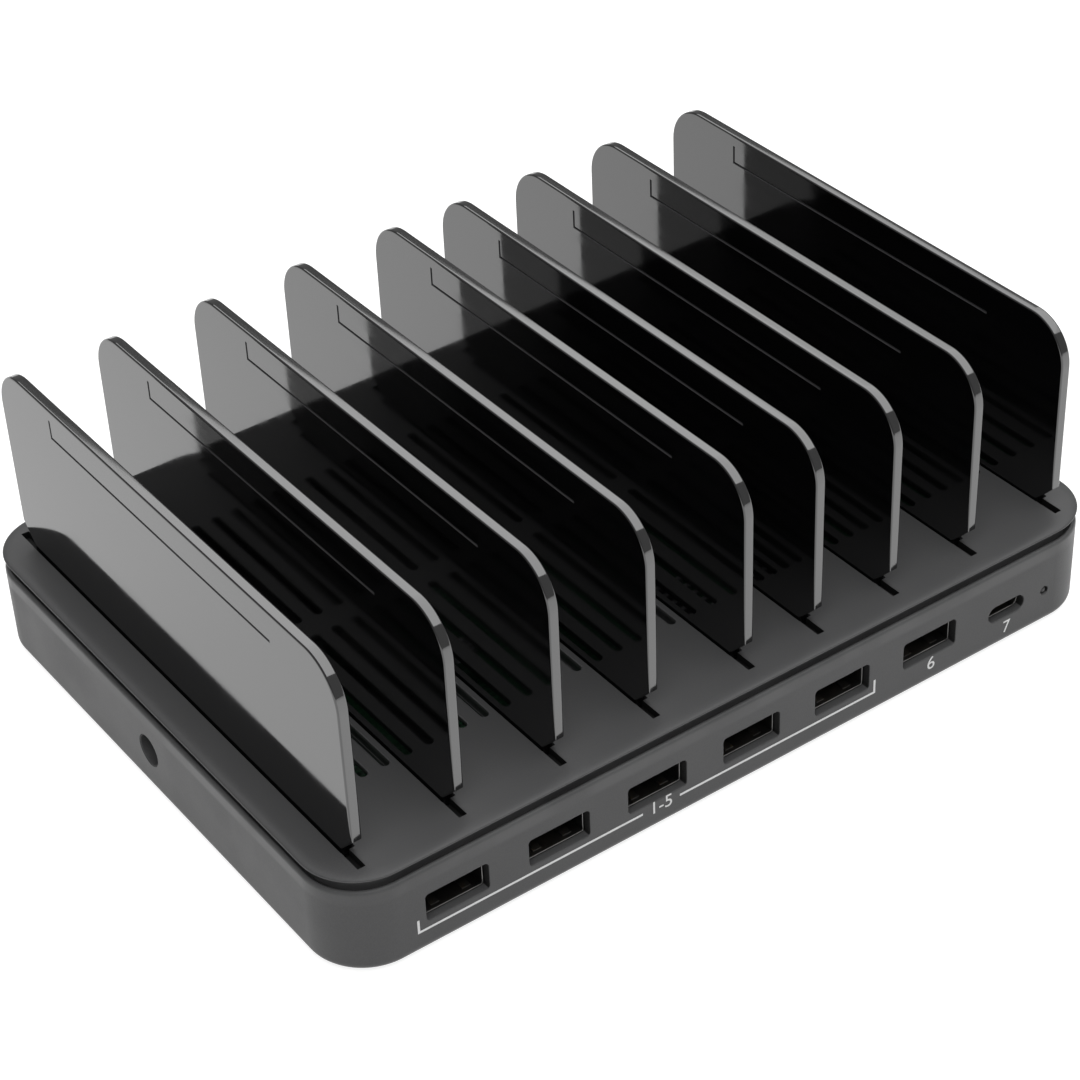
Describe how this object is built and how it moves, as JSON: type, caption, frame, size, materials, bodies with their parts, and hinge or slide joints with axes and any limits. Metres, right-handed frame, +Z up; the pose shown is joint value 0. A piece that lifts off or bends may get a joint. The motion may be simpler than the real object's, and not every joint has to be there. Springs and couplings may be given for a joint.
{
  "type": "usb charging station",
  "caption": "Low moulded case with upright dividers on a vented deck, and a row of charging ports along its front wall, for charging phones and tablets side by side",
  "frame": {"origin": "on the table surface, under the middle of the case", "axes": "+X along the case's long side, to the right as seen from the port side; -Y out of the front wall with the ports; +Z up"},
  "size_m": [0.184, 0.135, 0.0661],
  "materials": {
    "case_plastic": "dark grey with a fine moulded grain",
    "divider_plastic": "polished black",
    "insert_plastic": "plain black",
    "port_metal": "black nickel plated",
    "circuit_board": "green solder mask",
    "lens": "frosted clear, unlit",
    "capacitor_can": "satin",
    "inductor_block": "pressed ferrite",
    "sink_aluminium": "extruded, plain",
    "chip_resin": "moulded resin",
    "screw_steel": "zinc plated",
    "foot_rubber": "matte black"
  },
  "bodies": {
    "case": {"bottom_shell": "case_plastic", "top_cover": "case_plastic", "circuit_board": "circuit_board", "usb_a_shell_1": "port_metal", "usb_a_shell_2": "port_metal", "usb_a_shell_3": "port_metal", "usb_a_shell_4": "port_metal", "usb_a_shell_5": "port_metal", "usb_a_shell_6": "port_metal", "usb_a_tongue_1": "insert_plastic", "usb_a_tongue_2": "insert_plastic", "usb_a_tongue_3": "insert_plastic", "usb_a_tongue_4": "insert_plastic", "usb_a_tongue_5": "insert_plastic", "usb_a_tongue_6": "insert_plastic", "usb_c_shell": "port_metal", "usb_c_tongue": "insert_plastic", "dc_jack_body": "insert_plastic", "dc_jack_pin": "port_metal", "status_light": "lens", "capacitor_1": "capacitor_can", "capacitor_2": "capacitor_can", "inductor_1": "inductor_block", "inductor_2": "inductor_block", "inductor_3": "inductor_block", "heat_sink": "sink_aluminium", "controller_chip": "chip_resin", "board_screw_1": "screw_steel", "board_screw_2": "screw_steel", "board_screw_3": "screw_steel", "board_screw_4": "screw_steel", "case_screw_1": "screw_steel", "case_screw_2": "screw_steel", "case_screw_3": "screw_steel", "case_screw_4": "screw_steel", "rubber_foot_1": "foot_rubber", "rubber_foot_2": "foot_rubber", "rubber_foot_3": "foot_rubber", "rubber_foot_4": "foot_rubber"},
    "divider_1": {"divider_1": "divider_plastic"},
    "divider_2": {"divider_2": "divider_plastic"},
    "divider_3": {"divider_3": "divider_plastic"},
    "divider_4": {"divider_4": "divider_plastic"},
    "divider_5": {"divider_5": "divider_plastic"},
    "divider_6": {"divider_6": "divider_plastic"},
    "divider_7": {"divider_7": "divider_plastic"},
    "divider_8": {"divider_8": "divider_plastic"},
    "divider_9": {"divider_9": "divider_plastic"}
  },
  "joints": [
    {"name": "divider_1_lift", "type": "slide", "parent": "case", "child": "divider_1", "axis": [0, 0, 1], "range_m": [0, 0.05]},
    {"name": "divider_2_lift", "type": "slide", "parent": "case", "child": "divider_2", "axis": [0, 0, 1], "range_m": [0, 0.05]},
    {"name": "divider_3_lift", "type": "slide", "parent": "case", "child": "divider_3", "axis": [0, 0, 1], "range_m": [0, 0.05]},
    {"name": "divider_4_lift", "type": "slide", "parent": "case", "child": "divider_4", "axis": [0, 0, 1], "range_m": [0, 0.05]},
    {"name": "divider_5_lift", "type": "slide", "parent": "case", "child": "divider_5", "axis": [0, 0, 1], "range_m": [0, 0.05]},
    {"name": "divider_6_lift", "type": "slide", "parent": "case", "child": "divider_6", "axis": [0, 0, 1], "range_m": [0, 0.05]},
    {"name": "divider_7_lift", "type": "slide", "parent": "case", "child": "divider_7", "axis": [0, 0, 1], "range_m": [0, 0.05]},
    {"name": "divider_8_lift", "type": "slide", "parent": "case", "child": "divider_8", "axis": [0, 0, 1], "range_m": [0, 0.05]},
    {"name": "divider_9_lift", "type": "slide", "parent": "case", "child": "divider_9", "axis": [0, 0, 1], "range_m": [0, 0.05]}
  ]
}
